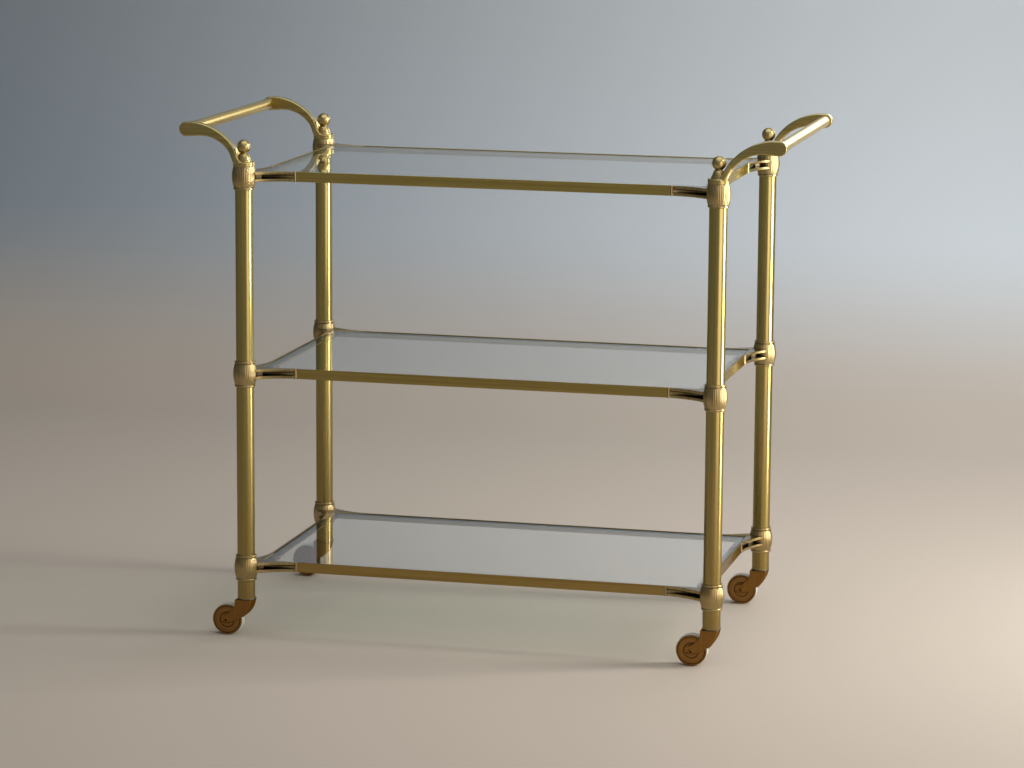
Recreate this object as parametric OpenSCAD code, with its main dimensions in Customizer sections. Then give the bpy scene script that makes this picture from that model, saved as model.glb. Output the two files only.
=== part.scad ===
// Two-handled bar cart: four tube posts on swivel casters carry three glass shelves.
// X runs along the long side, Y from front to back, Z up from the floor.

/* [Cart] */
// distance between the left and right post centres
post_pitch_x = 808; // [640:2:960]
// distance between the front and back post centres
post_pitch_y = 458; // [380:2:560]
// height of the middle of the bottom shelf rails above the floor
bottom_shelf_z = 118; // [112:0.5:150]
// height from one shelf to the next
shelf_pitch = 335; // [280:1:380]

/* [Posts] */
// outer diameter of the post tube
post_d = 30; // [29:0.5:31]
// wall of the post tube
post_wall = 1.5; // [1.2:0.1:2]
// sliding gap between a post and its castings, across the diameter
post_fit = 0.1; // [0.04:0.02:0.2]

/* [Corner castings] */
// largest diameter of the barrel
barrel_d = 40.4; // [39:0.2:42]
// diameter of the barrel at its two ends
barrel_end_d = 34.8; // [34:0.2:36]
// height of the barrel between its rings
barrel_h = 35; // [32:0.5:38]
// diameter of the ring at each end of the barrel
ring_d = 35.6; // [35:0.2:37]
// height of each ring
ring_h = 3.9; // [3:0.1:5]
// height of the groove between a ring and the barrel
groove_h = 0.6; // [0.4:0.1:1]
// reach of each arm from the post centre
arm_reach = 85; // [78:1:95]
// thickness of the upper and the lower plate of an arm
plate_t = 4.7; // [4:0.1:5]
// radius of the scooped outer edge of an arm, in plan
scoop_r = 130; // [120:1:150]
// thickness of the web between the plates
web_t = 2; // [1.6:0.1:3]
// width of the raised bead at the end of an arm
bead_d = 3.4; // [2.4:0.2:4]

/* [Rails] */
// height of the flat rails
rail_h = 17; // [16:0.5:19]
// thickness of the flat rails
rail_t = 3.2; // [2.8:0.1:4]
// how far the outer face of a rail lies inside the line of post centres
rail_inset = 19.5; // [18:0.5:21]
// width of the ledge that carries the glass
ledge_w = 13; // [12:0.5:16]
// thickness of the ledge
ledge_t = 3; // [2.5:0.1:3.4]
// length over which the end of a ledge lies on its casting
lap = 32; // [26:1:40]
// diameter of the screw in each lap
rail_screw_d = 4; // [3:0.5:5]

/* [Glass] */
// thickness of the glass
glass_t = 6; // [5:0.5:6]
// gap between the edge of the glass and the rail
glass_gap = 1; // [0.6:0.1:1.5]
// how far the glass lies below the top of the rails
glass_drop = 1; // [0.5:0.1:1.5]
// thickness of the clear pads under the glass
pad_t = 1; // [0.8:0.1:1.2]
// diameter of the clear pads
pad_d = 9; // [7:0.5:10]

/* [Handles] */
// how far the centre of a handle bar lies outside the post centre
handle_out = 99; // [94:1:104]
// height of the handle bar above the seat of the arm
handle_up = 59.5; // [57:0.5:61]
// diameter of the handle bar
handle_d = 19; // [17:0.5:20]
// wall of the handle bar tube
handle_wall = 1.5; // [1.2:0.1:2]
// height of the rounded end of a handle arm
paddle_d = 24.8; // [23.6:0.2:26]
// width of a handle arm from front to back
arm_w = 15; // [13:0.5:17]
// diameter of the collar that caps the post
collar_d = 37; // [36:0.5:38]
// height of the collar
collar_h = 7.6; // [7:0.2:9]
// thickness of the top wall of the collar
collar_wall = 4; // [3:0.5:5]
// depth of the seat that takes the end of the bar
bar_seat = 2; // [1:0.5:3]

/* [Finials] */
// diameter of the ball
ball_d = 23.4; // [21:0.2:24]
// height of the middle of the ball above its seat
ball_up = 24.9; // [24:0.1:26]
// diameter of the foot of the finial
foot_d = 26.2; // [25:0.2:27]
// diameter of the threaded stem
stem_d = 8; // [6:0.5:10]
// length of the plug in the top of each post
plug_l = 22; // [16:1:30]

/* [Casters] */
// diameter of the wheel
wheel_d = 53; // [48:1:54]
// width of the wheel over its two face discs
wheel_w = 20; // [18:0.5:23]
// thickness of a face disc
disc_t = 1.8; // [1.2:0.1:2.5]
// height of the tread above the wheel core
tread_t = 7; // [5:0.5:9]
// distance from the swivel axis back to the axle
trail = 31.5; // [31:0.5:34]
// outside width of the fork
fork_w = 34; // [32:0.5:36]
// thickness of the fork walls
fork_t = 2.5; // [2:0.1:3]
// height of the top of the fork above the floor
fork_top = 63; // [61:0.5:66]
// metal of the fork below the middle of the axle
axle_cover = 5; // [4.5:0.5:6.5]
// radius of the round end of a fork cheek
cheek_r = 10; // [8:0.5:12]
// diameter of the swivel pin
swivel_d = 10; // [8:0.5:12]
// diameter of the axle
axle_d = 6; // [5:0.5:7]
// length of the insert in the bottom of each post
insert_l = 33; // [25:1:45]
// running gap of the swivel pin and the axle, across the diameter
running_fit = 0.12; // [0.06:0.02:0.2]
// gap between faces that turn past each other
face_gap = 0.3; // [0.2:0.05:0.5]

/* [Hidden] */
$fn = 96;
e = 0.01;
fixed_fit = 0.1;
px = post_pitch_x / 2;
py = post_pitch_y / 2;
z_bottom = bottom_shelf_z;
z_middle = z_bottom + shelf_pitch;
z_top = z_middle + shelf_pitch;
corners = [[-1, -1], [1, -1], [-1, 1], [1, 1]];
levels = [z_bottom, z_middle, z_top];

// heights inside a shelf, from the middle of its rails
half_rail = rail_h / 2;
half_barrel = barrel_h / 2;
glass_top = half_rail - glass_drop;
ledge_top = glass_top - glass_t - pad_t;
ledge_low = ledge_top - ledge_t;

// plan lines, inwards from the line of post centres
rail_in = rail_inset + rail_t;
ledge_in = rail_in + ledge_w;
glass_edge = rail_in + glass_gap;
lap_start = arm_reach - lap;
lap_end = arm_reach - 5;
ledge_mid = rail_in + ledge_w / 2;

// barrel curve and scooped arm edge
barrel_bulge = (barrel_d - barrel_end_d) / 2;
barrel_r = (pow(half_barrel, 2) + pow(barrel_bulge, 2)) / (2 * barrel_bulge);
scoop_from = [17.7, -8];
scoop_to = [arm_reach, rail_inset];
scoop_chord = norm(scoop_to - scoop_from);
scoop_rise = sqrt(pow(scoop_r, 2) - pow(scoop_chord / 2, 2));
scoop_out = [scoop_to[1] - scoop_from[1], scoop_from[0] - scoop_to[0]] / scoop_chord;
scoop_mid = (scoop_from + scoop_to) / 2 + scoop_out * scoop_rise;
edge_break = 0.7;
rib_w = 10;
bead_proud = 0.4;
side_gap = 0.05;
grub_d = 4;
grub_l = 12;
grub_z = ledge_low + grub_d / 2 + 0.2;

// top of the posts, collar and finial
collar_z = z_top + half_barrel;
collar_top = collar_z + collar_h;
post_top = collar_top - collar_wall;
bore_d = post_d - 2 * post_wall;
pocket_r = foot_d / 2 + 0.7;
neck_r = 6.4;
foot_h = 3.4;
bell_low = [foot_d / 2 - 1.1, foot_h - 0.1];
bell_high = [neck_r, ball_up - 10.3];
bell_r = 36;
bell_chord = bell_high - bell_low;
bell_in = [-bell_chord[1], bell_chord[0]] / norm(bell_chord);
bell_rise = sqrt(pow(bell_r, 2) - pow(norm(bell_chord) / 2, 2));
bell_mid = (bell_low + bell_high) / 2 + bell_in * bell_rise;
ball_r = ball_d / 2;

// handle arm in side view: distance outwards from the post centre, height above the seat
paddle_r = paddle_d / 2;
upper_r = 93.6;
lower_r = 50.8;
upper_apex_in = 7;
lower_apex_in = 29.2;
neck_drop = 9.2;
root_r = 34.6;
root_turn = [22, 60];
root_from = -5;
root_w = 16.2;
ring_line = 3.3;
upper_c = [handle_out - upper_apex_in, handle_up + paddle_r + 0.4 - upper_r];
lower_c = [handle_out - lower_apex_in, handle_up - neck_drop - lower_r];
arm_sides = 20;
root_steps = 4;
sweep_steps = 14;
tip_angles = [100, 84, 68, 54, 42, 31, 21, 12];
edge_r = 4;

// caster heights
wheel_r = wheel_d / 2;
flange_t = 1.5;
post_low = fork_top + face_gap + flange_t;
insert_top = post_low + insert_l;
spine_up = 3.5;
spine_mid = [-trail, fork_top + spine_up];
fork_r = spine_mid[1] - wheel_r + axle_cover;
spine_low = wheel_r + 7.5;
strap_top = [-post_d / 2 - 1, fork_top - 12];
strap_end = [-trail, wheel_r + cheek_r];
strap_curve = [[0.01, 0], [0.28, 0.38], [0.66, 0.77], [1, 1]];
axle_fit = 0.04;
cheek_in = fork_w / 2 - fork_t;

// colours of the finishes
satin_brass = [0.68, 0.58, 0.33];
dark_brass = [0.5, 0.38, 0.2];
steel = [0.62, 0.62, 0.6];
clear_glass = [0.75, 0.85, 0.82, 0.35];
grey_tread = [0.74, 0.74, 0.69];

// carries a part from the origin to one post
module over_post(sx, sy) {
    translate([sx * px, sy * py, 0])
        children();
}

// carries a part to one post and turns its corner, drawn towards +x +y, into the cart
module at_corner(sx, sy) {
    turn = sx < 0 ? (sy < 0 ? 0 : 270) : (sy < 0 ? 90 : 180);
    over_post(sx, sy)
        rotate([0, 0, turn])
            children();
}

// repeats a part for the two arms of a corner
module both_arms() {
    children();
    mirror([1, -1, 0])
        children();
}

// plain post tube, open at both ends
module post_tube(sx, sy) {
    color(satin_brass)
        over_post(sx, sy)
            translate([0, 0, post_low])
                difference() {
                    cylinder(d = post_d, h = post_top - post_low);
                    translate([0, 0, -e])
                        cylinder(d = bore_d, h = post_top - post_low + 2 * e);
                }
}

// half section of a ring with broken edges, standing on z = 0
module ring_section() {
    polygon([
        [post_d / 2 - 1, -groove_h - e],
        [ring_d / 2 - 0.9, -groove_h - e],
        [ring_d / 2 - 0.9, 0],
        [ring_d / 2 - 0.3, 0.25],
        [ring_d / 2, 0.9],
        [ring_d / 2, ring_h - 1.1],
        [ring_d / 2 - 0.35, ring_h - 0.35],
        [ring_d / 2 - 1.1, ring_h],
        [post_d / 2 - 1, ring_h]
    ]);
}

// turned barrel with a ring below it and, where asked for, a ring above it
module barrel(upper_ring) {
    rotate_extrude() {
        intersection() {
            translate([post_d / 2 - 1, -half_barrel])
                square([barrel_d, barrel_h]);
            translate([barrel_d / 2 - barrel_r, 0])
                circle(r = barrel_r, $fn = 360);
        }
        translate([0, -half_barrel - groove_h])
            mirror([0, 1])
                ring_section();
        if (upper_ring)
            translate([0, half_barrel + groove_h])
                ring_section();
    }
}

// outline of the two plates, before their outer edges are scooped
module plate_outline() {
    difference() {
        translate([scoop_from[1], scoop_from[1]])
            square(arm_reach - scoop_from[1]);
        translate([rail_in, rail_in])
            square(arm_reach);
    }
}

// everything that the scoop takes off one arm, with broken plate edges
module scoop_cut() {
    translate([scoop_mid[0], scoop_mid[1], 0]) {
        cylinder(r = scoop_r, h = 3 * rail_h, center = true, $fn = 360);
        for (s = [-1, 1])
            translate([0, 0, s * half_rail])
                mirror([0, 0, s < 0 ? 1 : 0])
                    translate([0, 0, -edge_break])
                        cylinder(r1 = scoop_r, r2 = scoop_r + 2 * edge_break, h = 2 * edge_break, $fn = 360);
    }
}

// hollow between the plates of one arm, open to the outside
module arm_recess() {
    gap = rail_h - 2 * plate_t;
    translate([0, -arm_reach / 2, -gap / 2])
        cube([arm_reach - bead_d, arm_reach / 2 + rail_in - web_t, gap]);
}

// shelf under the corner of the glass that the rail ledges lie on
module corner_ledge() {
    translate([rail_in - e, rail_in - e, ledge_low - ledge_t])
        difference() {
            cube([lap_end - rail_in, lap_end - rail_in, ledge_t]);
            translate([ledge_w + e, ledge_w + e, -e])
                cube([arm_reach, arm_reach, ledge_t + 2 * e]);
        }
}

// hole and countersink for the screw of one lap, seen from below
module lap_hole() {
    translate([(lap_start + lap_end) / 2, ledge_mid, ledge_low - ledge_t]) {
        translate([0, 0, -e])
            cylinder(d = rail_screw_d + fixed_fit, h = ledge_t + 2 * e);
        translate([0, 0, -e])
            cylinder(d1 = 2 * rail_screw_d + fixed_fit, d2 = rail_screw_d + fixed_fit, h = rail_screw_d / 2);
    }
}

// corner casting: a barrel round the post and two hollow arms that meet the rails
module corner_casting(sx, sy, z) {
    bead_mid = rail_inset + bead_d / 2 - bead_proud;
    color(satin_brass)
        at_corner(sx, sy)
            translate([0, 0, z])
                difference() {
                    union() {
                        difference() {
                            translate([0, 0, -half_rail])
                                linear_extrude(rail_h)
                                    plate_outline();
                            both_arms() {
                                scoop_cut();
                                arm_recess();
                            }
                        }
                        both_arms()
                            translate([arm_reach - bead_d / 2, bead_mid, -half_rail])
                                cylinder(d = bead_d, h = rail_h);
                        rotate([0, 0, 45])
                            translate([post_d / 2, -rib_w / 2, -half_rail])
                                cube([rail_in * sqrt(2) - post_d / 2 - 1, rib_w, rail_h]);
                        corner_ledge();
                        barrel(z < z_top);
                    }
                    translate([0, 0, -barrel_h])
                        cylinder(d = post_d + post_fit, h = 2 * barrel_h);
                    rotate([0, 0, 45])
                        translate([post_d / 2 - 1, 0, grub_z])
                            rotate([0, 90, 0])
                                cylinder(d = grub_d + fixed_fit, h = rail_in + ledge_w);
                    both_arms()
                        lap_hole();
                }
}

// flat rail with its glass ledge, drawn along x with the cart towards +y
module rail(pitch) {
    bar_l = pitch - 2 * arm_reach;
    ledge_l = pitch - 2 * lap_start;
    color(satin_brass)
        difference() {
            union() {
                translate([-bar_l / 2, rail_inset, -half_rail])
                    cube([bar_l, rail_t, rail_h]);
                translate([-ledge_l / 2, rail_in + side_gap, ledge_low])
                    cube([ledge_l, ledge_w - side_gap, ledge_t]);
                translate([-bar_l / 2, rail_in - e, ledge_low])
                    cube([bar_l, ledge_w / 2, ledge_t]);
            }
            for (s = [-1, 1])
                translate([s * (pitch / 2 - (lap_start + lap_end) / 2), ledge_mid, ledge_low - e])
                    cylinder(d = rail_screw_d + fixed_fit, h = ledge_t + 2 * e);
        }
}

module rail_front(z) {
    translate([0, -py, z])
        rail(post_pitch_x);
}

module rail_back(z) {
    rotate([0, 0, 180])
        rail_front(z);
}

module rail_right(z) {
    translate([px, 0, z])
        rotate([0, 0, 90])
            rail(post_pitch_y);
}

module rail_left(z) {
    rotate([0, 0, 180])
        rail_right(z);
}

// glass pane with broken edges
module glass_pane(z) {
    half = [px - glass_edge, py - glass_edge];
    bevel = edge_break * sqrt(2);
    color(clear_glass)
        translate([0, 0, z + glass_top - glass_t])
            difference() {
                translate([-half[0], -half[1], 0])
                    cube([2 * half[0], 2 * half[1], glass_t]);
                for (h = [0, glass_t])
                    for (s = [-1, 1]) {
                        translate([0, s * half[1], h])
                            rotate([45, 0, 0])
                                cube([2 * half[0] + 10, bevel, bevel], center = true);
                        translate([s * half[0], 0, h])
                            rotate([0, 45, 0])
                                cube([bevel, 2 * half[1] + 10, bevel], center = true);
                    }
            }
}

// clear pads on the ledges, two to a rail
module glass_pads() {
    inset = arm_reach + 3 * pad_d;
    color(clear_glass)
        for (z = levels)
            for (c = corners)
                translate([0, 0, z + ledge_top]) {
                    translate([c[0] * (px - inset), c[1] * (py - ledge_mid), 0])
                        cylinder(d = pad_d, h = pad_t);
                    translate([c[0] * (px - ledge_mid), c[1] * (py - inset), 0])
                        cylinder(d = pad_d, h = pad_t);
                }
}

// half width of the handle arm, from its broad root to the flat arm
function arm_half_w(s) = arm_w / 2 + (root_w - arm_w / 2) * pow(cos(90 * min(1, s)), 1.6);

// one section of the handle arm between a point on its upper and one on its lower edge
function arm_section(upper, lower, w, power) = [for (k = [0:arm_sides - 1])
    let (a = 360 * (k + 0.5) / arm_sides)
    let (m = pow(pow(abs(cos(a)), power) + pow(abs(sin(a)), power), -1 / power))
    let (p = (upper + lower) / 2 + (upper - lower) / 2 * m * cos(a))
    [p[0], w * m * sin(a), p[1]]];

// sections that spread into the collar
function root_sections() = [for (i = [0:root_steps])
    let (s = i / root_steps)
    let (t = root_turn[0] + (root_turn[1] - root_turn[0]) * s)
    let (u = root_from + root_r * (sin(t) - sin(root_turn[0])))
    let (h = collar_h - 0.4 + root_r * (cos(root_turn[0]) - cos(t)))
    let (lower = [collar_d / 2 - 1 + 5.4 * s, 3.5 + 15 * s])
    arm_section([u, h], lower, arm_half_w(0.6 * s), 6 - 3 * s)];

// sections that follow the two arcs of the sweep
function sweep_sections() = [for (i = [0:sweep_steps])
    let (s = i / sweep_steps)
    let (a = -58 + 50 * s)
    let (b = 155 - 75 * s)
    let (upper = upper_c + upper_r * [sin(a), cos(a)])
    let (lower = lower_c + lower_r * [cos(b), sin(b)])
    arm_section(upper, lower, arm_half_w(0.6 + 1.6 * s), 3 + s)];

// sections that close the round end
function tip_sections() = [for (a = tip_angles)
    let (reach = paddle_r * [cos(a), sin(a)])
    let (d = min(edge_r, paddle_r - reach[0]))
    let (w = arm_w / 2 - edge_r + sqrt(pow(edge_r, 2) - pow(edge_r - d, 2)))
    let (mid = [handle_out, handle_up])
    arm_section(mid + reach, mid + [reach[0], -reach[1]], w, 4)];

// swept solid through a list of sections with equal numbers of points
module loft(sections) {
    n = len(sections[0]);
    m = len(sections);
    sides = [for (i = [0:m - 2])
        for (k = [0:n - 1])
            let (a = i * n + k)
            let (b = i * n + (k + 1) % n)
            for (f = [[a, b, a + n], [b, b + n, a + n]])
                f];
    first = [for (k = [1:n - 2]) [0, k + 1, k]];
    last = [for (k = [1:n - 2]) [(m - 1) * n, (m - 1) * n + k, (m - 1) * n + k + 1]];
    polyhedron([for (s = sections) for (p = s) p], concat(sides, first, last), convexity = 4);
}

// handle arm: a collar that caps the post and a swept arm that ends in a rounded paddle
module handle_arm(sx, sy) {
    color(satin_brass)
        over_post(sx, sy)
            rotate([0, 0, sx < 0 ? 180 : 0])
                translate([0, 0, collar_z])
                    difference() {
                        union() {
                            loft(concat(root_sections(), sweep_sections(), tip_sections()));
                            rotate_extrude()
                                polygon([
                                    [0, 0],
                                    [collar_d / 2 - 0.6, 0],
                                    [collar_d / 2, 0.6],
                                    [collar_d / 2, ring_line - 0.4],
                                    [collar_d / 2 - 0.4, ring_line],
                                    [collar_d / 2, ring_line + 0.4],
                                    [collar_d / 2, collar_h - 0.8],
                                    [collar_d / 2 - 0.8, collar_h],
                                    [0, collar_h]
                                ]);
                        }
                        translate([0, 0, collar_h])
                            cylinder(r = pocket_r, h = 2 * ball_up);
                        translate([0, 0, -e])
                            cylinder(d = post_d + post_fit, h = collar_h - collar_wall + e);
                        cylinder(d = stem_d + fixed_fit, h = collar_h + e);
                        translate([handle_out, -sx * sy * (arm_w / 2 - bar_seat), handle_up])
                            rotate([sx * sy * 90, 0, 0])
                                cylinder(d = handle_d + fixed_fit, h = arm_w);
                    }
}

// round tube between two handle arms
module handle_bar(sx) {
    half = py - arm_w / 2 + bar_seat;
    color(satin_brass)
        translate([sx * (px + handle_out), 0, collar_z + handle_up])
            rotate([90, 0, 0])
                difference() {
                    cylinder(d = handle_d, h = 2 * half, center = true);
                    cylinder(d = handle_d - 2 * handle_wall, h = 2 * half + 1, center = true);
                }
}

// half section of a finial: foot, bell, ball and stem
module finial_section() {
    foot_r = foot_d / 2;
    translate([0, -collar_wall - plug_l + 4])
        square([stem_d / 2, collar_wall + plug_l]);
    polygon([
        [0, 0],
        [foot_r, 0],
        [foot_r, foot_h - 1.1],
        [foot_r - 0.5, foot_h - 0.3],
        [foot_r - 1.1, foot_h],
        [0, foot_h]
    ]);
    intersection() {
        translate([0, bell_low[1]])
            square([bell_low[0], bell_high[1] - bell_low[1]]);
        translate(bell_mid)
            circle(r = bell_r, $fn = 240);
    }
    translate([0, bell_high[1] - 0.1])
        square([neck_r, ball_up - bell_high[1]]);
    intersection() {
        translate([0, ball_up])
            circle(r = ball_r);
        translate([0, ball_up - ball_r])
            square([ball_r, ball_d]);
    }
}

module finials() {
    color(satin_brass)
        for (c = corners)
            over_post(c[0], c[1])
                translate([0, 0, collar_top])
                    rotate_extrude()
                        finial_section();
}

// threaded plugs that hold the finials
module post_top_plugs() {
    color(steel)
        for (c = corners)
            over_post(c[0], c[1])
                translate([0, 0, post_top - plug_l])
                    difference() {
                        cylinder(d = bore_d - fixed_fit, h = plug_l);
                        translate([0, 0, -e])
                            cylinder(d = stem_d + fixed_fit, h = plug_l + 2 * e);
                    }
}

// flanged inserts that the swivel pins turn in
module caster_inserts() {
    color(steel)
        for (c = corners)
            over_post(c[0], c[1])
                translate([0, 0, fork_top + face_gap])
                    difference() {
                        union() {
                            cylinder(d = post_d, h = flange_t);
                            cylinder(d = bore_d - fixed_fit, h = insert_l + flange_t);
                        }
                        translate([0, 0, -e])
                            cylinder(d = swivel_d + running_fit, h = insert_l + 2);
                    }
}

// socket screws that clamp each casting to its post
module casting_grub_screws() {
    color(steel)
        for (z = levels)
            for (c = corners)
                at_corner(c[0], c[1])
                    translate([0, 0, z + grub_z])
                        rotate([0, 0, 45])
                            translate([post_d / 2 + 0.03, 0, 0])
                                rotate([0, 90, 0])
                                    difference() {
                                        cylinder(d = grub_d, h = grub_l);
                                        translate([0, 0, grub_l - 2])
                                            cylinder(d = grub_d / 2, h = 3, $fn = 6);
                                    }
}

// countersunk screws that hold the ledges down on the castings
module rail_screws() {
    head = rail_screw_d / 2;
    color(steel)
        for (z = levels)
            for (c = corners)
                at_corner(c[0], c[1])
                    both_arms()
                        translate([(lap_start + lap_end) / 2, ledge_mid, z + ledge_low - ledge_t])
                            difference() {
                                union() {
                                    cylinder(d = rail_screw_d, h = 2 * ledge_t);
                                    cylinder(d1 = 2 * rail_screw_d, d2 = rail_screw_d, h = head);
                                }
                                translate([0, 0, 0.4])
                                    cube([3 * rail_screw_d, 0.9, 1], center = true);
                            }
}

// side view of the fork: curved back, straight top and a strap down to the axle
module fork_side() {
    intersection() {
        union() {
            polygon(concat(
                [[strap_top[0], fork_top]],
                [for (c = strap_curve) [
                    strap_top[0] + c[0] * (strap_end[0] - strap_top[0]),
                    strap_top[1] + c[1] * (strap_end[1] - strap_top[1])
                ]],
                [
                    [-trail, wheel_r],
                    [-trail + 0.6 * cheek_r, wheel_r - 0.8 * cheek_r],
                    [-6, spine_low - 1.5],
                    [0, spine_low],
                    [fork_r, spine_low],
                    [fork_r, fork_top]
                ]
            ));
            translate([-trail, wheel_r])
                circle(r = cheek_r);
        }
        translate(spine_mid)
            circle(r = fork_r, $fn = 240);
    }
}

// space inside the fork, open behind the wheel and below the curved back
module fork_inside() {
    intersection() {
        translate(spine_mid)
            circle(r = fork_r - fork_t, $fn = 240);
        translate([-2 * fork_r, 0])
            square([4 * fork_r, fork_top - fork_t]);
    }
    translate([-2 * fork_r, 0])
        square([4 * fork_r, spine_low]);
}

// rounds the two upright edges of the curved back
module fork_edge_cut() {
    cut = 2.2;
    for (s = [-1, 1])
        translate([spine_mid[0], s * (fork_w / 2), spine_mid[1]])
            rotate([90, 0, 0])
                rotate_extrude($fn = 240)
                    translate([fork_r, 0])
                        rotate([0, 0, 45])
                            square(cut * sqrt(2), center = true);
}

// swivel fork with its riveted pin
module fork(sx, sy) {
    color(dark_brass)
        over_post(sx, sy)
            difference() {
                union() {
                    rotate([90, 0, 0])
                        difference() {
                            linear_extrude(fork_w, center = true)
                                fork_side();
                            linear_extrude(2 * cheek_in, center = true)
                                fork_inside();
                        }
                    translate([0, 0, fork_top - fork_t - 1.2])
                        cylinder(d1 = swivel_d, d2 = swivel_d + 4, h = 1.3);
                    translate([0, 0, fork_top - fork_t])
                        cylinder(d = swivel_d, h = insert_top + face_gap - fork_top + fork_t + 2);
                    translate([0, 0, insert_top + face_gap])
                        cylinder(d1 = swivel_d + 4, d2 = swivel_d + 2, h = 2);
                }
                translate([-trail, 0, wheel_r])
                    rotate([90, 0, 0])
                        cylinder(d = axle_d + axle_fit, h = 2 * fork_w, center = true);
                fork_edge_cut();
            }
}

// axle with a low round head outside each cheek
module axle(sx, sy) {
    color(dark_brass)
        over_post(sx, sy)
            translate([-trail, 0, wheel_r])
                rotate([90, 0, 0]) {
                    cylinder(d = axle_d, h = fork_w + 1, center = true);
                    for (s = [-1, 1])
                        mirror([0, 0, s < 0 ? 1 : 0])
                            translate([0, 0, fork_w / 2])
                                cylinder(d1 = axle_d + 2.4, d2 = axle_d + 0.6, h = 1);
                }
}

// half section of the wheel body: core, two ringed face discs and hub bosses
module wheel_section() {
    half_w = wheel_w / 2;
    disc_r = wheel_r - 0.6;
    core_r = wheel_r - tread_t;
    boss = cheek_in - face_gap;
    boss_wall = 4;
    ring_places = [0.48, 0.86];
    ring_cut = 1;
    difference() {
        union() {
            translate([0, -half_w])
                square([core_r, wheel_w]);
            for (s = [-1, 1])
                mirror([0, s < 0 ? 1 : 0]) {
                    translate([0, half_w - disc_t])
                        polygon([
                            [0, 0],
                            [disc_r, 0],
                            [disc_r, disc_t - 0.6],
                            [disc_r - 0.6, disc_t],
                            [0, disc_t]
                        ]);
                    square([axle_d / 2 + boss_wall, boss]);
                }
        }
        square([axle_d + running_fit, 4 * boss], center = true);
        for (s = [-1, 1])
            for (r = ring_places)
                translate([r * wheel_r, s * half_w])
                    rotate(45)
                        square(ring_cut, center = true);
    }
}

module wheel(sx, sy) {
    color(dark_brass)
        over_post(sx, sy)
            translate([-trail, 0, wheel_r])
                rotate([90, 0, 0])
                    rotate_extrude()
                        wheel_section();
}

// pale tread between the face discs
module tyre(sx, sy) {
    half = wheel_w / 2 - disc_t;
    core_r = wheel_r - tread_t;
    color(grey_tread)
        over_post(sx, sy)
            translate([-trail, 0, wheel_r])
                rotate([90, 0, 0])
                    rotate_extrude($fn = 180)
                        polygon([
                            [core_r, -half],
                            [wheel_r - 0.5, -half],
                            [wheel_r, -half + 1.5],
                            [wheel_r, half - 1.5],
                            [wheel_r - 0.5, half],
                            [core_r, half]
                        ]);
}

post_tube(-1, -1);  // post_front_left
post_tube(1, -1);  // post_front_right
post_tube(-1, 1);  // post_back_left
post_tube(1, 1);  // post_back_right
corner_casting(-1, -1, z_bottom);  // casting_bottom_front_left
corner_casting(1, -1, z_bottom);  // casting_bottom_front_right
corner_casting(-1, 1, z_bottom);  // casting_bottom_back_left
corner_casting(1, 1, z_bottom);  // casting_bottom_back_right
corner_casting(-1, -1, z_middle);  // casting_middle_front_left
corner_casting(1, -1, z_middle);  // casting_middle_front_right
corner_casting(-1, 1, z_middle);  // casting_middle_back_left
corner_casting(1, 1, z_middle);  // casting_middle_back_right
corner_casting(-1, -1, z_top);  // casting_top_front_left
corner_casting(1, -1, z_top);  // casting_top_front_right
corner_casting(-1, 1, z_top);  // casting_top_back_left
corner_casting(1, 1, z_top);  // casting_top_back_right
rail_front(z_bottom);  // rail_bottom_front
rail_back(z_bottom);  // rail_bottom_back
rail_left(z_bottom);  // rail_bottom_left
rail_right(z_bottom);  // rail_bottom_right
rail_front(z_middle);  // rail_middle_front
rail_back(z_middle);  // rail_middle_back
rail_left(z_middle);  // rail_middle_left
rail_right(z_middle);  // rail_middle_right
rail_front(z_top);  // rail_top_front
rail_back(z_top);  // rail_top_back
rail_left(z_top);  // rail_top_left
rail_right(z_top);  // rail_top_right
glass_pane(z_bottom);  // glass_bottom
glass_pane(z_middle);  // glass_middle
glass_pane(z_top);  // glass_top
handle_arm(-1, -1);  // handle_arm_front_left
handle_arm(1, -1);  // handle_arm_front_right
handle_arm(-1, 1);  // handle_arm_back_left
handle_arm(1, 1);  // handle_arm_back_right
handle_bar(-1);  // handle_bar_left
handle_bar(1);  // handle_bar_right
finials();
post_top_plugs();
caster_inserts();
casting_grub_screws();
rail_screws();
glass_pads();
fork(-1, -1);  // fork_front_left
fork(1, -1);  // fork_front_right
fork(-1, 1);  // fork_back_left
fork(1, 1);  // fork_back_right
axle(-1, -1);  // axle_front_left
axle(1, -1);  // axle_front_right
axle(-1, 1);  // axle_back_left
axle(1, 1);  // axle_back_right
wheel(-1, -1);  // wheel_front_left
wheel(1, -1);  // wheel_front_right
wheel(-1, 1);  // wheel_back_left
wheel(1, 1);  // wheel_back_right
tyre(-1, -1);  // tyre_front_left
tyre(1, -1);  // tyre_front_right
tyre(-1, 1);  // tyre_back_left
tyre(1, 1);  // tyre_back_right
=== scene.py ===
# %% [markdown]
# # A brass bar cart with three glass shelves
# This lesson dresses a finished construction model of a bar cart. The model
# already gives every piece its place and its size. What is made here is how each
# piece looks: satin brass, reeded cast sockets, turned finials, clear glass with
# a green edge, and small casters. Where the model's shape is already right, a
# piece only gets its finish. Where the real piece is softer or finer than the
# model, a better mesh takes its place.

# %% Load the construction model
import math

import bmesh
import bpy
from mathutils import Matrix, Vector


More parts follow.
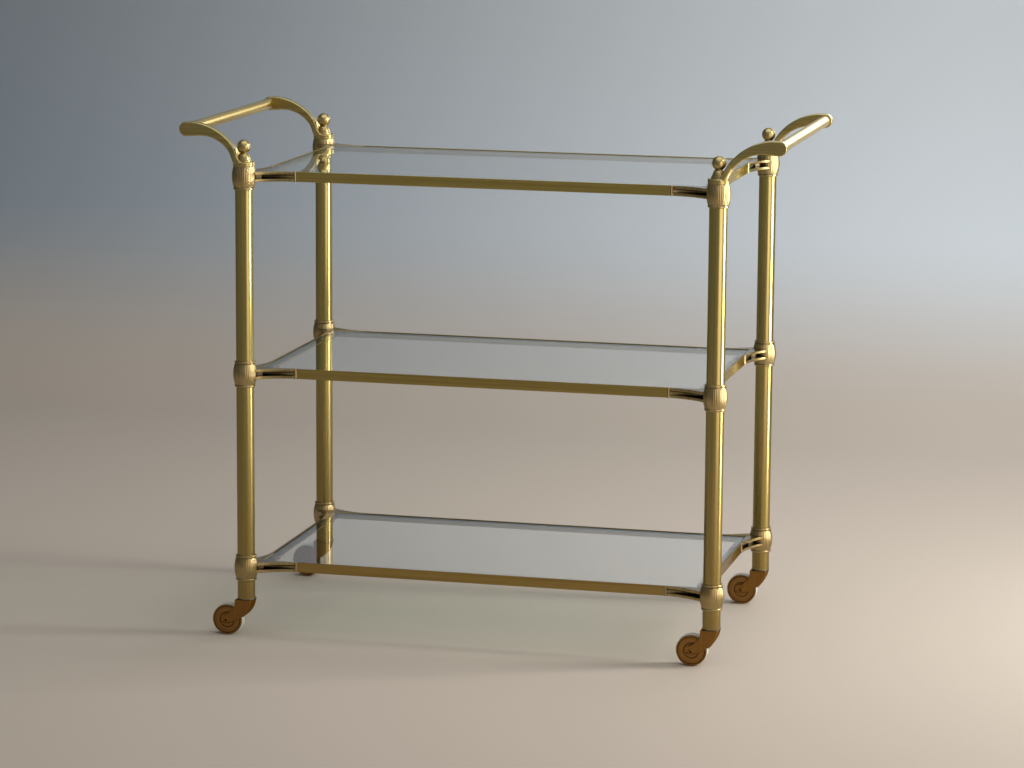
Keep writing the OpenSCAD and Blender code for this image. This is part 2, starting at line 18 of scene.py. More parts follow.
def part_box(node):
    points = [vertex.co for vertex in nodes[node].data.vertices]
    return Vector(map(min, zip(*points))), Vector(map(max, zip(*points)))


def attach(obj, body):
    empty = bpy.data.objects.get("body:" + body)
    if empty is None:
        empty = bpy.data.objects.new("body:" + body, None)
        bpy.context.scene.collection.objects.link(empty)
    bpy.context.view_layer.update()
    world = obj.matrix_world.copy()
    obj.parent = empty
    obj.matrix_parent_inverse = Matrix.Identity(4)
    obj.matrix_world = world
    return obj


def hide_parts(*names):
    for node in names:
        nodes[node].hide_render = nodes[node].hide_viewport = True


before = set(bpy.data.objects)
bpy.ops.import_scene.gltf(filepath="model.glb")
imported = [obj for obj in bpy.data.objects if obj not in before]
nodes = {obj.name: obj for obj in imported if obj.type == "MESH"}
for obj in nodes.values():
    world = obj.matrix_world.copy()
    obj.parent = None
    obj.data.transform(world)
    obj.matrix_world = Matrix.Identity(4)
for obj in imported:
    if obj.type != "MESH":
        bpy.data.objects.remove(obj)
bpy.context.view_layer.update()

scene = bpy.context.scene
MM = 0.001

# %% [markdown]
# ## Where things are
# Nothing is measured twice. The places below come from the boxes of the model's
# own pieces, so the looks follow the model. The corners get a sign for each
# direction: the right side is +x, the back is +y.

# %% Places taken from the model
CORNERS = {"front_left": (-1, -1), "front_right": (1, -1), "back_left": (-1, 1), "back_right": (1, 1)}
LEVELS = ("bottom", "middle", "top")


def middle(node):
    """Middle of the box of one of the model's pieces."""
    low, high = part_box(node)
    return (low + high) / 2


post_x = middle("post_front_right").x
post_y = -middle("post_front_right").y
axle_x = middle("axle_front_right").x
axle_z = middle("axle_front_right").z
rail_z = {level: middle(f"rail_{level}_front").z for level in LEVELS}
print("posts", round(post_x / MM, 1), round(post_y / MM, 1),
      "axle behind its post by", round((post_x - axle_x) / MM, 1))

# %% [markdown]
# ## The camera
# The photograph was taken from the front right, a little above the cart, with a
# long lens from six metres away. Its place and turn come from matching the posts,
# the shelves and the handles, so a render lies over the photograph.

# %% Set up the camera
IMAGE_W = 1024
FOCAL_PX = 3629
SENSOR_MM = 36
CAMERA_AT = Vector((1.4917, -5.9846, 1.5074))
YAW, PITCH, ROLL = (math.radians(a) for a in (13.96, 10.034, 0.40))

ahead = Vector((-math.sin(YAW), math.cos(YAW), 0))
right = Vector((math.cos(YAW), math.sin(YAW), 0))
level_up = Vector((0, 0, 1))
view_out = ahead * math.cos(PITCH) - level_up * math.sin(PITCH)
view_up = level_up * math.cos(PITCH) + ahead * math.sin(PITCH)
axis_x = right * math.cos(ROLL) + view_up * math.sin(ROLL)
axis_y = view_up * math.cos(ROLL) - right * math.sin(ROLL)

camera = bpy.data.objects.new("camera", bpy.data.cameras.new("camera"))
camera.data.sensor_width = SENSOR_MM
camera.data.lens = FOCAL_PX / IMAGE_W * SENSOR_MM
camera.data.clip_end = 60
camera.matrix_world = Matrix.Translation(CAMERA_AT) @ Matrix((axis_x, axis_y, -view_out)).transposed().to_4x4()
scene.collection.objects.link(camera)
scene.camera = camera
print("lens", round(camera.data.lens, 1), "mm, distance", round(CAMERA_AT.length, 2), "m")

# %% [markdown]
# ## Helpers for node trees and colours
# A material and a Geometry Nodes modifier are both trees of nodes. One function
# adds a node, sets it and joins its inputs, so each finish reads like a recipe.
# Colours are written as sRGB hex, as on a paint chart, and one function turns
# them into the linear values that a shader works with.

# %% Add a node, turn a colour to linear
def linear(hex_colour):
    """Linear RGBA of an sRGB hex colour."""
    parts = [int(hex_colour[i:i + 2], 16) / 255 for i in (1, 3, 5)]
    return tuple(p / 12.92 if p <= 0.04045 else ((p + 0.055) / 1.055) ** 2.4 for p in parts) + (1.0,)


def add(tree, kind, settings=None, links=None):
    """Adds a node. A setting or link is named by a property, a socket's name or its number."""
    new = tree.nodes.new(kind)
    for key, value in (settings or {}).items():
        if isinstance(key, str) and hasattr(new, key):
            setattr(new, key, value)
        else:
            new.inputs[key].default_value = value
    for key, source in (links or {}).items():
        tree.links.new(source if isinstance(source, bpy.types.NodeSocket) else source.outputs[0], new.inputs[key])
    return new


def start_material(name):
    """A material with an empty tree."""
    material = bpy.data.materials.new(name)
    material.use_nodes = True
    material.node_tree.nodes.clear()
    return material, material.node_tree


def wear(material, *names):
    """Gives a finish to pieces of the model that keep their shape."""
    for name in names:
        nodes[name].data.materials.clear()
        nodes[name].data.materials.append(material)


# %% [markdown]
# ## A plain studio
# Metal shows what stands round it, so the studio is part of the finish. A pale
# floor runs up into a grey wall. A tall soft window on the right draws one
# narrow highlight down every tube, a wide dim panel beside it gives the tan band
# next to that highlight, and the left side stays dim, which leaves the olive
# shade there. The panes are left out of these two lamps, because a pane seen
# from the left would mirror the window as a white patch.

# %% Floor and wall in one sweep
FLOOR_FRONT, WALL_BACK, SWEEP_R, WALL_TOP, HALF_W = -9.0, 2.6, 0.9, 5.5, 9.0
WALL_FROM = 0.4
# Painted shade and light: the wall is painted darker towards the dim side and lighter towards the bright side, in
# metres along x.
DIM_SIDE, BRIGHT_SIDE = -2.4, 0.6


def sweep_profile(steps=16):
    """Side view of the sweep, from the front of the floor to the top of the wall."""
    turn = [math.radians(90 * i / steps) for i in range(steps + 1)]
    bend = [(WALL_BACK - SWEEP_R + SWEEP_R * math.sin(a), SWEEP_R - SWEEP_R * math.cos(a)) for a in turn]
    return [(FLOOR_FRONT, 0.0)] + bend + [(WALL_BACK, WALL_TOP)]


def make_sweep():
    """The floor and wall as one smooth sheet."""
    profile = sweep_profile()
    mesh = bpy.data.meshes.new("studio_sweep")
    mesh.from_pydata([(x, y, z) for y, z in profile for x in (-HALF_W, HALF_W)], [],
                     [(2 * i, 2 * i + 1, 2 * i + 3, 2 * i + 2) for i in range(len(profile) - 1)])
    mesh.shade_smooth()
    sheet = bpy.data.objects.new("studio_sweep", mesh)
    scene.collection.objects.link(sheet)
    return sheet


def painted_board():
    """Matt paint, which gives back soft light with no glare.

    Only its front is painted: from behind it is clear, so that the back of the cart can be looked at too.
    """
    material, tree = start_material("matt_painted_board")
    where = add(tree, "ShaderNodeTexCoord")
    spot = add(tree, "ShaderNodeSeparateXYZ", links={0: where.outputs["Object"]})
    climb = add(tree, "ShaderNodeMapRange",
                {"interpolation_type": "SMOOTHSTEP", "From Min": 0.0, "From Max": WALL_FROM},
                {"Value": spot.outputs["Z"]})
    # Painted shade and light: the wall colour runs from darker on the left to lighter on the right.
    across = add(tree, "ShaderNodeMapRange",
                 {"interpolation_type": "SMOOTHSTEP", "From Min": DIM_SIDE, "From Max": BRIGHT_SIDE},
                 {"Value": spot.outputs["X"]})
    wall = add(tree, "ShaderNodeMix", {"data_type": "RGBA", 6: linear("#8D98A3"), 7: linear("#D2DBE3")}, {0: across})
    paint = add(tree, "ShaderNodeMix", {"data_type": "RGBA", 6: linear("#BCB1A5")}, {0: climb, 7: wall.outputs[2]})
    board = add(tree, "ShaderNodeBsdfPrincipled", {"Roughness": 0.9, "Specular IOR Level": 0.2},
                {"Base Color": paint.outputs[2]})
    clear = add(tree, "ShaderNodeBsdfTransparent")
    side = add(tree, "ShaderNodeNewGeometry").outputs["Backfacing"]
    one_sided = add(tree, "ShaderNodeMixShader", links={0: side, 1: board, 2: clear})
    add(tree, "ShaderNodeOutputMaterial", links={"Surface": one_sided})
    return material


make_sweep().data.materials.append(painted_board())
print("sweep runs from", FLOOR_FRONT, "to", WALL_BACK, "m")

# %% Window, side panel, top light and dim room
def soft_light(name, at, towards, size, watts, colour, no_glare=None):
    """A rectangular soft light that faces a point. It leaves out the pieces that the group no_glare excludes."""
    data = bpy.data.lights.new(name, "AREA")
    data.shape = "RECTANGLE"
    data.size, data.size_y = size
    data.energy = watts
    data.color = linear(colour)[:3]
    lamp = bpy.data.objects.new(name, data)
    lamp.location = at
    lamp.rotation_euler = (Vector(towards) - Vector(at)).to_track_quat("-Z", "Y").to_euler()
    lamp.visible_camera = lamp.visible_transmission = False
    scene.collection.objects.link(lamp)
    if no_glare:
        lamp.light_linking.receiver_collection = no_glare
    print(name, "gives", round(watts / (math.pi * size[0] * size[1]), 2), "W per square metre and steradian")


no_glare = bpy.data.collections.new("panes_without_glare")
soft_light("window", (2.0, 0.24, 1.15), (0, 0.1, 1.15), (0.48, 2.3), 53, "#FFFDF8", no_glare)
soft_light("side_panel", (1.75, -1.4, 0.95), (0, 0, 0.9), (1.25, 1.9), 12.5, "#FFE9DA", no_glare)
soft_light("back_window", (1.0, 2.45, 1.35), (0.3, 0, 1.0), (2.5, 0.8), 21, "#FFFFFF")
soft_light("top_light", (0.4, -0.3, 4.0), (0, 0, 0.4), (4.6, 4.0), 62, "#FBFCFF")

world = bpy.data.worlds.new("dim_room")
world.use_nodes = True
room = world.node_tree
room.nodes.clear()
direction = add(room, "ShaderNodeTexCoord")
sideways = add(room, "ShaderNodeSeparateXYZ", links={0: direction.outputs["Generated"]})
glow = add(room, "ShaderNodeMapRange", {"From Min": -1.0, "From Max": 1.0, "To Min": 0.11, "To Max": 0.42},
           {"Value": sideways.outputs["X"]})
dim = add(room, "ShaderNodeBackground", {"Color": linear("#F4F4EE")}, {"Strength": glow})
add(room, "ShaderNodeOutputWorld", links={"Surface": dim})
scene.world = world
scene.view_settings.view_transform = "Standard"

# %% [markdown]
# ## Helpers for meshes
# Every finished piece is a plain mesh at the origin, with its place in its
# points. The helpers below turn modifiers into plain meshes, make all faces
# point outwards, and shade curved faces smoothly but keep real edges crisp.

# %% Make, bake and shade meshes
def put(name, mesh):
    """Shows a mesh as an object at the origin."""
    mesh.name = name
    thing = bpy.data.objects.new(name, mesh)
    scene.collection.objects.link(thing)
    return thing


def baked(thing, name):
    """The mesh that a thing's modifiers make, as a plain object. The thing itself goes."""
    bpy.context.view_layer.update()
    state = thing.evaluated_get(bpy.context.evaluated_depsgraph_get())
    mesh = bpy.data.meshes.new_from_object(state)
    bpy.data.objects.remove(thing)
    return put(name, mesh)


WELD = 1e-6


def tidy_faces(mesh, crisp=35):
    """Closes seams, turns faces outwards, and shades smoothly up to an angle in degrees."""
    form = bmesh.new()
    form.from_mesh(mesh)
    bmesh.ops.remove_doubles(form, verts=form.verts, dist=WELD)
    bmesh.ops.dissolve_degenerate(form, edges=form.edges, dist=1e-7)
    bmesh.ops.recalc_face_normals(form, faces=form.faces)
    form.to_mesh(mesh)
    form.free()
    mesh.shade_smooth()
    mesh.set_sharp_from_angle(angle=math.radians(crisp))


def carry(piece, body, material, slot, *replaced):
    """Finishes a piece: its material, its body and what it stands for. slot is not used."""
    piece.data.materials.clear()
    piece.data.materials.append(material)
    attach(piece, body)
    if replaced:
        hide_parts(*replaced)
    print(piece.name, "has", sum(len(f.vertices) - 2 for f in piece.data.polygons), "triangles")


# %% [markdown]
# ## Brass, as the eye sees it
# The cart is satin brass under an old-gold lacquer: drawn tube, flat bar, cast
# corners and turned finials, all brushed. Brushing leaves hair-fine lines along
# the tube and round the turned parts. They are too fine for a picture at this
# distance, so they are drawn 0.6 mm wide, with broader streaks of 3 mm. In
# corners and recesses an occlusion mask darkens the colour: painted shade.
# Towards the floor the colour is made darker and browner: painted shade too.

# %% One recipe for every brushed brass
LINE_WIDTH = 0.6 * MM
STREAK_WIDTH = 3.0 * MM
RECESS = 13.0 * MM
# Painted shade: the brass is darkened and browned towards the floor, and this is the height in metres where that
# ends.
FLOOR_SHADE_UP_TO = 0.75
# Painted shade: the dark brown that corners and recesses are mixed towards.
RECESS_SHADE = "#35290F"
WHITE = "#FFFFFF"


def brushed_brass(name, bright, shade, rough, run, centre=None, lacquer=0.7, floor_shade="#BDAB95", edge=None):
    """Satin brass between a bright and a shaded tone.

    run gives how long a brushed line is along x, y and z; a face turned about a centre has rings instead.
    The colour given for the floor is what the tone is multiplied by at floor height, which is painted shade, and edge
    is the tint of grazing light.
    """
    material, tree = start_material(name)
    where = add(tree, "ShaderNodeTexCoord")
    spot = add(tree, "ShaderNodeSeparateXYZ", links={0: where.outputs["Object"]})
    # Painted shade: the tone is multiplied darker and browner at the floor, fading out with height.
    height = add(tree, "ShaderNodeMapRange", {"From Min": 0.0, "From Max": FLOOR_SHADE_UP_TO},
                 {"Value": spot.outputs["Z"]})
    floor_shade_tint = add(tree, "ShaderNodeMix", {"data_type": "RGBA", 6: linear(floor_shade), 7: linear(WHITE)}, {0: height})
    if centre:
        moved = add(tree, "ShaderNodeMapping", {"Location": tuple(-c for c in centre)},
                    {"Vector": where.outputs["Object"]})
        flat = add(tree, "ShaderNodeVectorMath", {"operation": "MULTIPLY", 1: (1, 0, 1)}, {0: moved})
        reach = add(tree, "ShaderNodeVectorMath", {"operation": "LENGTH"}, {0: flat})
        place = add(tree, "ShaderNodeCombineXYZ", links={"X": reach.outputs["Value"]})
        run = (LINE_WIDTH, 1.0, 1.0)
    else:
        place = where.outputs["Object"]
    fine_at = add(tree, "ShaderNodeMapping", {"Scale": tuple(1 / r for r in run)}, {"Vector": place})
    wide = tuple(r * STREAK_WIDTH / LINE_WIDTH for r in run)
    wide_at = add(tree, "ShaderNodeMapping", {"Scale": tuple(1 / r for r in wide)}, {"Vector": place})
    lines = add(tree, "ShaderNodeTexNoise", {"Scale": 1.0, "Detail": 2.0, "Roughness": 0.6}, {"Vector": fine_at})
    streaks = add(tree, "ShaderNodeTexNoise", {"Scale": 1.0, "Detail": 2.0, "Roughness": 0.5}, {"Vector": wide_at})
    mixed = add(tree, "ShaderNodeMath", {"operation": "MULTIPLY_ADD", 1: 0.45}, {0: lines, 2: streaks})
    tone = add(tree, "ShaderNodeMapRange", {"From Min": 0.5, "From Max": 0.95}, {"Value": mixed})
    # Painted shade: ambient occlusion darkens corners and recesses towards that dark brown.
    recess = add(tree, "ShaderNodeAmbientOcclusion", {"samples": 8, "only_local": True, "Distance": RECESS})
    open_metal = add(tree, "ShaderNodeMapRange", {"From Min": 0.22, "From Max": 0.8}, {"Value": recess.outputs["AO"]})
    clean = add(tree, "ShaderNodeMix", {"data_type": "RGBA", 6: linear(shade), 7: linear(bright)}, {0: tone})
    metal_tone = add(tree, "ShaderNodeMix", {"data_type": "RGBA", "blend_type": "MULTIPLY", 0: 1.0},
                     {6: clean.outputs[2], 7: floor_shade_tint.outputs[2]})
    recess_shaded = add(tree, "ShaderNodeMix", {"data_type": "RGBA", 6: linear(RECESS_SHADE)},
              {0: open_metal, 7: metal_tone.outputs[2]})
    gloss = add(tree, "ShaderNodeMapRange", {"To Min": rough - 0.03, "To Max": rough + 0.05}, {"Value": lines})
    relief = add(tree, "ShaderNodeBump", {"Strength": 0.1, "Distance": 0.02 * MM}, {"Height": mixed})
    metal = add(tree, "ShaderNodeBsdfPrincipled",
                {"Metallic": 1.0, "Specular Tint": linear(edge or shade),
                 "Coat Weight": lacquer, "Coat Roughness": 0.13},
                {"Base Color": recess_shaded.outputs[2], "Roughness": gloss, "Normal": relief})
    add(tree, "ShaderNodeOutputMaterial", links={"Surface": metal})
    return material


LONG = 60 * MM
ALONG_X = (LONG, LINE_WIDTH, LINE_WIDTH)
ALONG_Y = (LINE_WIDTH, LONG, LINE_WIDTH)
ALONG_Z = (LINE_WIDTH, LINE_WIDTH, LONG)
ROUND_Z = (20 * MM, 20 * MM, LINE_WIDTH)
DARK_EDGE = "#BBA276"

# %% The brass finishes of the cart
drawn_tube = brushed_brass("drawn_brass_tube", "#CDC07B", "#B2A65F", 0.24, ALONG_Z, lacquer=0.6)
hand_tube = brushed_brass("drawn_brass_hand_bar", "#D8BD6C", "#C0A354", 0.29, ALONG_Y, lacquer=0.1,
                          edge=WHITE)
cast_brass = brushed_brass("cast_brass_sockets", "#C2B07B", "#A28D57", 0.28, ALONG_Z, lacquer=1.0,
                           floor_shade="#E4DCCC")
arm_brass = brushed_brass("cast_brass_handle_arms", "#CCBA7B", "#B09D60", 0.28, ALONG_X, lacquer=0.3,
                          edge=WHITE)
bar_along_x = brushed_brass("brass_flat_bar_long", "#D2BF6F", "#B9A357", 0.28, ALONG_X)
bar_along_y = brushed_brass("brass_flat_bar_short", "#D2BF6F", "#B9A357", 0.28, ALONG_Y)
turned_brass = brushed_brass("turned_brass", "#CBB77C", "#AD995E", 0.30, ROUND_Z)
fork_brass = brushed_brass("pressed_brass_forks", "#986F37", "#825C2E", 0.34, ALONG_Z, lacquer=0.0,
                           floor_shade=WHITE, edge=DARK_EDGE)
wheel_brass = {side: brushed_brass(f"spun_brass_wheels_{side}", "#9D743B", "#835C2E", 0.34, None,
                                   (sign * post_x - (post_x - axle_x), 0, axle_z), lacquer=0.2,
                                   floor_shade=WHITE, edge=DARK_EDGE)
               for side, sign in (("left", -1), ("right", 1))}

# %% [markdown]
# ## Glass, tread, pads and steel
# The shelves are clear float glass, 6 mm thick. Seen through its face it is
# nearly colourless, and seen along its length the iron in it turns it green,
# which is why the edges are dark green lines. Absorption in the volume gives the
# tint, and the ground edges get a finish of their own. Lamps must light what
# lies under the glass, so a shadow ray passes straight through it.

# %% Float glass
def float_glass():
    """Clear glass with a green tint in its depth, which lets shadow rays through."""
    material, tree = start_material("clear_float_glass")
    pane = add(tree, "ShaderNodeBsdfPrincipled",
               {"Base Color": linear(WHITE), "Roughness": 0.0, "IOR": 1.52, "Transmission Weight": 1.0})
    clear = add(tree, "ShaderNodeBsdfTransparent", {"Color": linear("#F2F7F5")})
    path = add(tree, "ShaderNodeLightPath")
    mix = add(tree, "ShaderNodeMixShader", links={0: path.outputs["Is Shadow Ray"], 1: pane, 2: clear})
    depth = add(tree, "ShaderNodeVolumeAbsorption", {"Color": linear("#8FC9B6"), "Density": 4.0})
    add(tree, "ShaderNodeOutputMaterial", links={"Surface": mix, "Volume": depth})
    return material


# %% Grey tread, clear pads, plated steel
def speckled(name, light, dark, grain, rough_low, rough_high, settings):
    """A finish with fine speckle. grain is the size of one speckle in metres."""
    material, tree = start_material(name)
    where = add(tree, "ShaderNodeTexCoord")
    speck = add(tree, "ShaderNodeTexNoise", {"Scale": 1 / grain, "Detail": 3.0}, {"Vector": where.outputs["Object"]})
    tone = add(tree, "ShaderNodeMapRange", {"From Min": 0.35, "From Max": 0.65}, {"Value": speck})
    colour = add(tree, "ShaderNodeMix", {"data_type": "RGBA", 6: linear(dark), 7: linear(light)}, {0: tone})
    rough = add(tree, "ShaderNodeMapRange", {"To Min": rough_low, "To Max": rough_high}, {"Value": speck})
    relief = add(tree, "ShaderNodeBump", {"Strength": 0.2, "Distance": 0.05 * MM}, {"Height": speck})
    surface = add(tree, "ShaderNodeBsdfPrincipled", settings,
                  {"Base Color": colour.outputs[2], "Roughness": rough, "Normal": relief})
    add(tree, "ShaderNodeOutputMaterial", links={"Surface": surface})
    return material


# Thermoplastic rubber is soft and matt, and picks up fine grit as it rolls.
grey_rubber = speckled("grey_thermoplastic_rubber", "#C9C9BE", "#AFAFA3", 1.2 * MM, 0.45, 0.6, {})
# A ground glass edge is a satin dark green: light has come to it through the whole length of the pane.
ground_edge = speckled("ground_float_glass_edge", "#5C6652", "#454F40", 2 * MM, 0.25, 0.4, {})
# Clear polyurethane bumpers are glossy and let the brass show through.
clear_urethane = speckled("clear_polyurethane", "#EEF2EE", "#E2E8E3", 2 * MM, 0.12, 0.2,
                          {"Transmission Weight": 0.85, "IOR": 1.45})
# Zinc plating is a slightly cloudy metal. Its tone here is darker than clean zinc: painted shade, for the dark gap
# between each post and its fork.
zinc_steel = speckled("zinc_plated_steel", "#8F8C84", "#77746D", 1.5 * MM, 0.34, 0.46, {"Metallic": 1.0})
wear(zinc_steel, "post_top_plugs", "caster_inserts", "casting_grub_screws")

# %% [markdown]
# ## Turned pieces
# A lathe makes a piece from one rule: every cut runs right round the axis. So
# one Geometry Nodes tree does the same. It reads a half section as a row of
# points, lays a grid with a row of points for each step round the axis, and
# turns each row into its place. Then it puts a copy at every point that it is
# given, so four finials or 24 pads come from one section. A slot for a
# screwdriver can be cut across the end before the copies are made.

# %% The lathe tree
def start_tree(name, inputs):
    """A Geometry Nodes tree with named inputs."""
    tree = bpy.data.node_groups.new(name, "GeometryNodeTree")
    tree.interface.new_socket("Geometry", in_out="INPUT", socket_type="NodeSocketGeometry")
    for label, kind, value in inputs:
        socket = tree.interface.new_socket(label, in_out="INPUT", socket_type=kind)
        if value is not None:
            socket.default_value = value
    tree.interface.new_socket("Geometry", in_out="OUTPUT", socket_type="NodeSocketGeometry")
    return tree, add(tree, "NodeGroupInput").outputs


def lathe_tree():
    """Turns a half section round z, cuts a slot if one is asked for, and copies the result to every point."""
    tree, given = start_tree("lathe", (
        ("Section", "NodeSocketObject", None), ("Steps", "NodeSocketInt", 64),
        ("Slot Width", "NodeSocketFloat", 0.0), ("Slot Depth", "NodeSocketFloat", 0.0),
        ("Finish", "NodeSocketMaterial", None)))
    section = add(tree, "GeometryNodeObjectInfo", links={"Object": given["Section"]}).outputs["Geometry"]
    count = add(tree, "GeometryNodeAttributeDomainSize", links={"Geometry": section}).outputs["Point Count"]
    rows = add(tree, "ShaderNodeMath", {"operation": "ADD", 1: 1.0}, {0: given["Steps"]})
    grid = add(tree, "GeometryNodeMeshGrid", links={"Vertices X": count, "Vertices Y": rows})
    index = add(tree, "GeometryNodeInputIndex")
    ratio = add(tree, "ShaderNodeMath", {"operation": "DIVIDE"}, {0: index, 1: rows})
    on_section = add(tree, "ShaderNodeMath", {"operation": "FLOOR"}, {0: ratio})
    on_turn = add(tree, "ShaderNodeMath", {"operation": "MODULO"}, {0: index, 1: rows})
    here = add(tree, "GeometryNodeInputPosition")
    point = add(tree, "GeometryNodeSampleIndex", {"data_type": "FLOAT_VECTOR"},
                {"Geometry": section, "Value": here, "Index": on_section})
    part = add(tree, "ShaderNodeMath", {"operation": "DIVIDE"}, {0: on_turn, 1: given["Steps"]})
    angle = add(tree, "ShaderNodeMath", {"operation": "MULTIPLY", 1: 2 * math.pi}, {0: part})
    turned = add(tree, "ShaderNodeVectorRotate", {"rotation_type": "Z_AXIS"}, {"Vector": point, "Angle": angle})
    shaped = add(tree, "GeometryNodeSetPosition", links={"Geometry": grid.outputs["Mesh"], "Position": turned})
    closed = add(tree, "GeometryNodeMergeByDistance", {"Distance": WELD}, {"Geometry": shaped})
    deep = add(tree, "ShaderNodeMath", {"operation": "MULTIPLY", 1: 2.0}, {0: given["Slot Depth"]})
    block_size = add(tree, "ShaderNodeCombineXYZ", {"X": 1.0}, {"Y": given["Slot Width"], "Z": deep})
    block = add(tree, "GeometryNodeMeshCube", links={"Size": block_size})
    slotted = add(tree, "GeometryNodeMeshBoolean", {"operation": "DIFFERENCE"},
                  {"Mesh 1": closed, "Mesh 2": block.outputs["Mesh"]})
    wants_slot = add(tree, "FunctionNodeCompare", {"operation": "GREATER_THAN"}, {0: given["Slot Width"]})
    piece = add(tree, "GeometryNodeSwitch", {"input_type": "GEOMETRY"},
                {"Switch": wants_slot, "False": closed, "True": slotted})
    turn = add(tree, "GeometryNodeInputNamedAttribute", {"data_type": "FLOAT_VECTOR", "Name": "turn"})
    rotation = add(tree, "FunctionNodeEulerToRotation", links={"Euler": turn})
    copies = add(tree, "GeometryNodeInstanceOnPoints",
                 links={"Points": given["Geometry"], "Instance": piece, "Rotation": rotation})
    solid = add(tree, "GeometryNodeRealizeInstances", links={"Geometry": copies})
    finished = add(tree, "GeometryNodeSetMaterial", links={"Geometry": solid, "Material": given["Finish"]})
    add(tree, "NodeGroupOutput", links={"Geometry": finished})
    return tree


LATHE = lathe_tree()
print("lathe tree has", len(LATHE.nodes), "nodes")


# %% Run a tree on points
def grow(name, tree, points, turns, **inputs):
    """Runs a Geometry Nodes tree on points, each with a turn about x, y and z, and bakes the result."""
    mesh = bpy.data.meshes.new(name)
    mesh.from_pydata(points, [], [])
    turned = mesh.attributes.new("turn", "FLOAT_VECTOR", "POINT")
    for item, angles in zip(turned.data, turns):
        item.vector = angles
    thing = put(f"{name}_points", mesh)
    modifier = thing.modifiers.new("tree", "NODES")
    modifier.node_group = tree
    sockets = {s.name: s.identifier for s in tree.interface.items_tree if s.in_out == "INPUT"}
    for label, value in inputs.items():
        modifier[sockets[label.replace("_", " ")]] = value
    return baked(thing, name)


def turned_piece(name, section, steps, finish, points, turns=None, slot=(0.0, 0.0)):
    """Turns a half section, given as (radius, height) in millimetres, and copies it to points."""
    mesh = bpy.data.meshes.new(f"{name}_section")
    mesh.from_pydata([(r * MM, 0, h * MM) for r, h in section], [(i, i + 1) for i in range(len(section) - 1)], [])
    half = put(f"{name}_section", mesh)
    piece = grow(name, LATHE, points, turns or [(0, 0, 0)] * len(points), Section=half, Steps=steps,
                 Slot_Width=slot[0] * MM, Slot_Depth=slot[1] * MM, Finish=finish)
    bpy.data.objects.remove(half)
    tidy_faces(piece.data)
    return piece


def arc(mid, radius, start, end, steps):
    """Points of an arc in the plane of a section, angles in degrees."""
    return [(mid[0] + radius * math.cos(math.radians(start + (end - start) * i / steps)),
             mid[1] + radius * math.sin(math.radians(start + (end - start) * i / steps))) for i in range(steps + 1)]


# %% [markdown]
# ## Finials
# A ball on a bell, turned from one bar. The bell swells a little on its way
# down, and its foot stands in the hollow on top of each post. The section is
# two arcs and a few straight cuts, so the lathe tree needs only its points.

# %% Turn the four finials
BALL_R = 11.7
BALL_UP = 24.9
NECK_R = 6.4
FOOT_R = 13.1
STEM_R, STEM_LOW = 4.0, -22.0


def bow(start, end, swell, steps):
    """Points from start to end that swell to the right by up to the given height."""
    across = (end[1] - start[1], start[0] - end[0])
    points = []
    for i in range(steps + 1):
        t = i / steps
        push = 4 * swell * t * (1 - t) / math.hypot(*across)
        points.append((start[0] + (end[0] - start[0]) * t + across[0] * push,
                       start[1] + (end[1] - start[1]) * t + across[1] * push))
    return points


ball_from = -math.degrees(math.acos(NECK_R / BALL_R))
finial_section = [(0, STEM_LOW), (STEM_R, STEM_LOW), (STEM_R, 0), (FOOT_R - 0.3, 0), (FOOT_R, 0.3), (FOOT_R, 2.3),
                  (FOOT_R - 0.3, 2.9), (FOOT_R - 1.1, 3.3), *bow((FOOT_R - 1.2, 3.5), (NECK_R + 0.4, 13.9), 0.55, 9),
                  (NECK_R, 14.2), (NECK_R, 14.6), *arc((0, BALL_UP), BALL_R, ball_from, 90, 22)]
seat_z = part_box("finials")[1].z - (BALL_UP + BALL_R) * MM
post_tops = [(sx * post_x, sy * post_y, seat_z) for sx, sy in CORNERS.values()]
finials = turned_piece("turned_finials", finial_section, 64, turned_brass, post_tops)
carry(finials, "cart", turned_brass, "turned_brass", "finials")

# %% [markdown]
# ## Pads and rail screws
# The glass lies on two clear bumpers on each rail. The ledges of the rails are
# held to the cast corners by countersunk screws from below. Both are small
# turned pieces that repeat 24 times, so they are points for the lathe tree.

# %% Places of pads and screws on every shelf
LEDGE_IN = 29.2
PAD_ALONG, SCREW_ALONG = 112.0, 66.5
PAD_LOW, SCREW_LOW = 0.5, -5.5


def on_ledges(along, height):
    """Two points at each corner of each shelf, one on each rail, given in millimetres from the posts."""
    far, near = along * MM, LEDGE_IN * MM
    return [(sx * (post_x - a), sy * (post_y - b), rail_z[level] + height * MM)
            for level in LEVELS for sx, sy in CORNERS.values() for a, b in ((far, near), (near, far))]


pad_section = [(0, 0), (4.4, 0), (4.5, 0.15), (4.45, 0.5), (4.1, 0.85), (3.4, 1.0), (0, 1.0)]
pads = turned_piece("clear_bumpers", pad_section, 24, clear_urethane, on_ledges(PAD_ALONG, PAD_LOW))
carry(pads, "cart", clear_urethane, "clear_pads", "glass_pads")

screw_section = [(0, -6), (2, -6), (2, -2), (3.9, -0.15), (3.8, 0), (0, 0)]
screw_places = on_ledges(SCREW_ALONG, SCREW_LOW)
head_down = [(math.pi, 0, 0.4 * i) for i in range(len(screw_places))]
screws = turned_piece("countersunk_rail_screws", screw_section, 24, zinc_steel, screw_places, head_down, (0.9, 0.9))
carry(screws, "cart", zinc_steel, "plated_steel", "rail_screws")

# %% [markdown]
# ## Casters
# Each wheel is a spool of brass: two spun discs with rings, and a hub that
# reaches to the cheeks of the fork. The rings catch light as thin circles, so
# they are real grooves in the section. A pale tread lies between the discs. The
# axle is a hollow rivet, rolled over round a small hole at both ends. The forks
# are pressed from sheet, so their edges are slightly round: a bevel on the
# model's own mesh.

